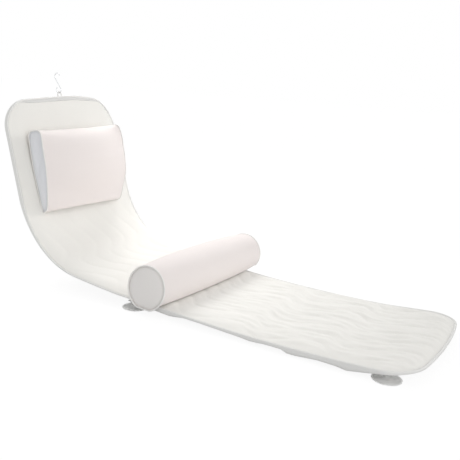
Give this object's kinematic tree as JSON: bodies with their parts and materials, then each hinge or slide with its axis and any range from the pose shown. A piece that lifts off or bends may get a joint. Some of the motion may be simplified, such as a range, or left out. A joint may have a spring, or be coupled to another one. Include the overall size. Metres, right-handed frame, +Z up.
{
  "type": "bath pillow",
  "caption": "Full-body bath pillow: a quilted mesh mat that bends up behind the head, with a head pillow, a bolster, suction cups and a hanging hook.",
  "frame": {"origin": "under the middle of the part's box, on the floor that the cups stand on", "axes": "+X towards the foot end, +Y across the mat towards its far side, +Z up"},
  "size_m": [1.0328, 0.422, 0.4821],
  "materials": {
    "quilted_mesh": "soft white air mesh, quilted in wavy channels",
    "base_mesh": "open white mesh",
    "edge_binding": "woven edge band with a white piping bead",
    "foam": "open foam and fibre fill",
    "cover_mesh": "soft warm white mesh cover",
    "piping_cord": "white piping cord",
    "webbing": "white webbing",
    "hook_tape": "white hook tape",
    "loop_cord": "white braided cord",
    "suction_cup": "soft translucent grey-white plastic",
    "hook_wire": "polished steel wire"
  },
  "bodies": {
    "seat": {"seat_quilted_top": "quilted_mesh", "seat_foam_core": "foam", "seat_base_panel": "base_mesh", "seat_edge_binding_near": "edge_binding", "seat_edge_binding_far": "edge_binding", "fold_quilted_top": "quilted_mesh", "fold_foam_core": "foam", "fold_base_panel": "base_mesh", "fold_edge_binding_near": "edge_binding", "fold_edge_binding_far": "edge_binding", "bend_quilted_top": "quilted_mesh", "bend_foam_core": "foam", "bend_base_panel": "base_mesh", "bend_edge_binding_near": "edge_binding", "bend_edge_binding_far": "edge_binding", "seat_cup_strip": "webbing", "seat_cup_near": "suction_cup", "seat_cup_far": "suction_cup", "bend_cup_strip": "webbing", "bend_cup_near": "suction_cup", "bend_cup_far": "suction_cup"},
    "foot": {"foot_quilted_top": "quilted_mesh", "foot_foam_core": "foam", "foot_base_panel": "base_mesh", "foot_edge_binding": "edge_binding", "foot_cup_strip": "webbing", "foot_cup_near": "suction_cup", "foot_cup_far": "suction_cup"},
    "back": {"back_quilted_top": "quilted_mesh", "back_foam_core": "foam", "back_base_panel": "base_mesh", "back_edge_binding": "edge_binding", "back_lower_cup_strip": "webbing", "back_lower_cup_near": "suction_cup", "back_lower_cup_far": "suction_cup", "back_upper_cup_strip": "webbing", "back_upper_cup_near": "suction_cup", "back_upper_cup_far": "suction_cup", "hanging_loop": "loop_cord"},
    "pillow": {"pillow_front_panel": "cover_mesh", "pillow_gusset": "cover_mesh", "pillow_piping": "piping_cord", "pillow_back_panel": "cover_mesh", "pillow_fill": "foam", "pillow_hook_tape_near": "hook_tape", "pillow_hook_tape_far": "hook_tape"},
    "bolster": {"bolster_sleeve": "cover_mesh", "bolster_fill": "foam", "bolster_end_near": "cover_mesh", "bolster_end_far": "cover_mesh", "bolster_piping_near": "piping_cord", "bolster_piping_far": "piping_cord", "bolster_hook_tape_near": "hook_tape", "bolster_hook_tape_far": "hook_tape"},
    "hook": {"s_hook": "hook_wire"}
  },
  "joints": [
    {"name": "foot_fold", "type": "hinge", "parent": "seat", "child": "foot", "pos_m": [0.21657, -0.01199, 0.02103], "axis": [0, -1, 0], "range_deg": [0, 150], "deforming": ["fold_quilted_top", "fold_foam_core", "fold_base_panel", "fold_edge_binding_near", "fold_edge_binding_far"]},
    {"name": "back_recline", "type": "hinge", "parent": "seat", "child": "back", "pos_m": [-0.38416, -0.01199, 0.05834], "axis": [0, 1, 0], "range_deg": [-60, 25], "deforming": ["bend_quilted_top", "bend_foam_core", "bend_base_panel", "bend_edge_binding_near", "bend_edge_binding_far"]},
    {"name": "pillow_shift", "type": "slide", "parent": "back", "child": "pillow", "axis": [-0.2807, 0, 0.9598], "range_m": [0, 0.07]},
    {"name": "bolster_shift", "type": "hinge", "parent": "seat", "child": "bolster", "pos_m": [0.20516, -0.01199, 3.92902], "axis": [0, 1, 0], "range_deg": [-1.17, 1.17]},
    {"name": "hook_swing", "type": "hinge", "parent": "back", "child": "hook", "pos_m": [-0.50003, -0.01199, 0.43464], "axis": [0, 1, 0], "range_deg": [-80, 60]}
  ]
}
